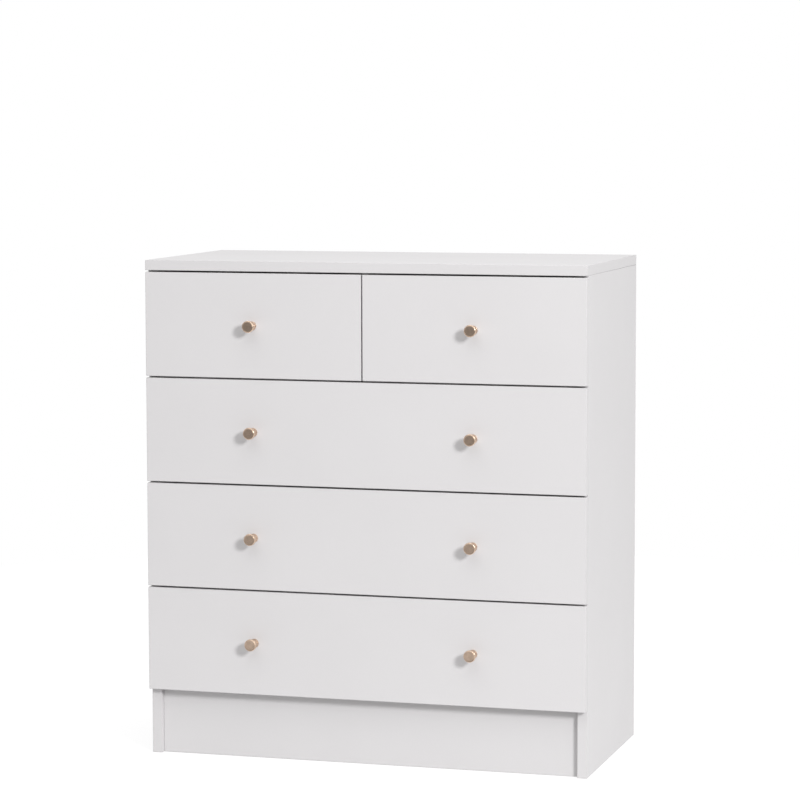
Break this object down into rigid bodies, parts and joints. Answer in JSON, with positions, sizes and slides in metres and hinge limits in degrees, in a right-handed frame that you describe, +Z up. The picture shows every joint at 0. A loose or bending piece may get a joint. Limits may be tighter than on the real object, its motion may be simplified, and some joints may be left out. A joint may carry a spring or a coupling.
{
  "type": "chest of drawers",
  "caption": "Free-standing chest of drawers: half-width drawers above full-width ones, all sliding on roller runners, with round knobs, a recessed kickboard and a flat top.",
  "frame": {"origin": "on the floor, at the middle of the overall box, knobs included", "axes": "+X to the right seen from the front, -Y out of the drawer fronts, +Z up"},
  "size_m": [0.8, 0.425, 0.886],
  "materials": {
    "white_board": "satin white foil on particle board",
    "box_board": "matt white foil on particle board",
    "hardboard": "white-faced hardboard, brown back",
    "white_plastic": "matt extruded",
    "coated_steel": "white epoxy coat",
    "nylon": "matt moulded",
    "zinc": "zinc plated",
    "brass": "satin brass plating"
  },
  "bodies": {
    "cabinet": {"top_panel": "white_board", "left_side_panel": "white_board", "right_side_panel": "white_board", "centre_divider": "white_board", "shelf": "white_board", "kickboard": "white_board", "rear_plinth_rail": "white_board", "upper_rear_rail": "white_board", "upper_back_panel": "hardboard", "lower_back_panel": "hardboard", "back_joiner": "white_plastic", "cabinet_runners": "coated_steel", "cam_locks": "zinc", "cam_bolts": "zinc", "cabinet_screws": "zinc"},
    "cabinet_rollers_1": {"cabinet_rollers_1": "nylon"},
    "drawer_1": {"drawer_1_front": "white_board", "drawer_1_left_side": "box_board", "drawer_1_right_side": "box_board", "drawer_1_back": "box_board", "drawer_1_bottom": "hardboard", "drawer_1_knobs": "brass", "drawer_1_runners": "coated_steel"},
    "drawer_1_rollers": {"drawer_1_rollers": "nylon"},
    "cabinet_rollers_2": {"cabinet_rollers_2": "nylon"},
    "drawer_2": {"drawer_2_front": "white_board", "drawer_2_left_side": "box_board", "drawer_2_right_side": "box_board", "drawer_2_back": "box_board", "drawer_2_bottom": "hardboard", "drawer_2_knobs": "brass", "drawer_2_runners": "coated_steel"},
    "drawer_2_rollers": {"drawer_2_rollers": "nylon"},
    "cabinet_rollers_3": {"cabinet_rollers_3": "nylon"},
    "drawer_3": {"drawer_3_front": "white_board", "drawer_3_left_side": "box_board", "drawer_3_right_side": "box_board", "drawer_3_back": "box_board", "drawer_3_bottom": "hardboard", "drawer_3_knobs": "brass", "drawer_3_runners": "coated_steel"},
    "drawer_3_rollers": {"drawer_3_rollers": "nylon"},
    "cabinet_rollers_4": {"cabinet_rollers_4": "nylon"},
    "drawer_4": {"drawer_4_front": "white_board", "drawer_4_left_side": "box_board", "drawer_4_right_side": "box_board", "drawer_4_back": "box_board", "drawer_4_bottom": "hardboard", "drawer_4_knobs": "brass", "drawer_4_runners": "coated_steel"},
    "drawer_4_rollers": {"drawer_4_rollers": "nylon"},
    "cabinet_rollers_5": {"cabinet_rollers_5": "nylon"},
    "drawer_5": {"drawer_5_front": "white_board", "drawer_5_left_side": "box_board", "drawer_5_right_side": "box_board", "drawer_5_back": "box_board", "drawer_5_bottom": "hardboard", "drawer_5_knobs": "brass", "drawer_5_runners": "coated_steel"},
    "drawer_5_rollers": {"drawer_5_rollers": "nylon"}
  },
  "joints": [
    {"name": "drawer_1_slide", "type": "slide", "parent": "cabinet", "child": "drawer_1", "axis": [0, -1, 0], "range_m": [0, 0.265]},
    {"name": "drawer_1_rollers_turn", "type": "hinge", "parent": "drawer_1", "child": "drawer_1_rollers", "pos_m": [-0.19475, 0.16, 0.705], "axis": [1, 0, 0], "range_deg": [0, 1381.3]},
    {"name": "cabinet_rollers_1_turn", "type": "hinge", "parent": "cabinet", "child": "cabinet_rollers_1", "pos_m": [-0.19475, -0.158, 0.7112], "axis": [1, 0, 0], "range_deg": [0, 1381.3]},
    {"name": "drawer_2_slide", "type": "slide", "parent": "cabinet", "child": "drawer_2", "axis": [0, -1, 0], "range_m": [0, 0.265]},
    {"name": "drawer_2_rollers_turn", "type": "hinge", "parent": "drawer_2", "child": "drawer_2_rollers", "pos_m": [0.19475, 0.16, 0.705], "axis": [1, 0, 0], "range_deg": [0, 1381.3]},
    {"name": "cabinet_rollers_2_turn", "type": "hinge", "parent": "cabinet", "child": "cabinet_rollers_2", "pos_m": [0.19475, -0.158, 0.7112], "axis": [1, 0, 0], "range_deg": [0, 1381.3]},
    {"name": "drawer_3_slide", "type": "slide", "parent": "cabinet", "child": "drawer_3", "axis": [0, -1, 0], "range_m": [0, 0.265]},
    {"name": "drawer_3_rollers_turn", "type": "hinge", "parent": "drawer_3", "child": "drawer_3_rollers", "pos_m": [0, 0.16, 0.5175], "axis": [1, 0, 0], "range_deg": [0, 1381.3]},
    {"name": "cabinet_rollers_3_turn", "type": "hinge", "parent": "cabinet", "child": "cabinet_rollers_3", "pos_m": [0, -0.158, 0.5237], "axis": [1, 0, 0], "range_deg": [0, 1381.3]},
    {"name": "drawer_4_slide", "type": "slide", "parent": "cabinet", "child": "drawer_4", "axis": [0, -1, 0], "range_m": [0, 0.265]},
    {"name": "drawer_4_rollers_turn", "type": "hinge", "parent": "drawer_4", "child": "drawer_4_rollers", "pos_m": [0, 0.16, 0.33], "axis": [1, 0, 0], "range_deg": [0, 1381.3]},
    {"name": "cabinet_rollers_4_turn", "type": "hinge", "parent": "cabinet", "child": "cabinet_rollers_4", "pos_m": [0, -0.158, 0.3362], "axis": [1, 0, 0], "range_deg": [0, 1381.3]},
    {"name": "drawer_5_slide", "type": "slide", "parent": "cabinet", "child": "drawer_5", "axis": [0, -1, 0], "range_m": [0, 0.265]},
    {"name": "drawer_5_rollers_turn", "type": "hinge", "parent": "drawer_5", "child": "drawer_5_rollers", "pos_m": [0, 0.16, 0.1425], "axis": [1, 0, 0], "range_deg": [0, 1381.3]},
    {"name": "cabinet_rollers_5_turn", "type": "hinge", "parent": "cabinet", "child": "cabinet_rollers_5", "pos_m": [0, -0.158, 0.1487], "axis": [1, 0, 0], "range_deg": [0, 1381.3]}
  ],
  "couplings": [
    {"joint": "drawer_1_rollers_turn", "follows": "drawer_1_slide", "rad_per_m": 90.909},
    {"joint": "cabinet_rollers_1_turn", "follows": "drawer_1_slide", "rad_per_m": 90.909},
    {"joint": "drawer_2_rollers_turn", "follows": "drawer_2_slide", "rad_per_m": 90.909},
    {"joint": "cabinet_rollers_2_turn", "follows": "drawer_2_slide", "rad_per_m": 90.909},
    {"joint": "drawer_3_rollers_turn", "follows": "drawer_3_slide", "rad_per_m": 90.909},
    {"joint": "cabinet_rollers_3_turn", "follows": "drawer_3_slide", "rad_per_m": 90.909},
    {"joint": "drawer_4_rollers_turn", "follows": "drawer_4_slide", "rad_per_m": 90.909},
    {"joint": "cabinet_rollers_4_turn", "follows": "drawer_4_slide", "rad_per_m": 90.909},
    {"joint": "drawer_5_rollers_turn", "follows": "drawer_5_slide", "rad_per_m": 90.909},
    {"joint": "cabinet_rollers_5_turn", "follows": "drawer_5_slide", "rad_per_m": 90.909}
  ]
}
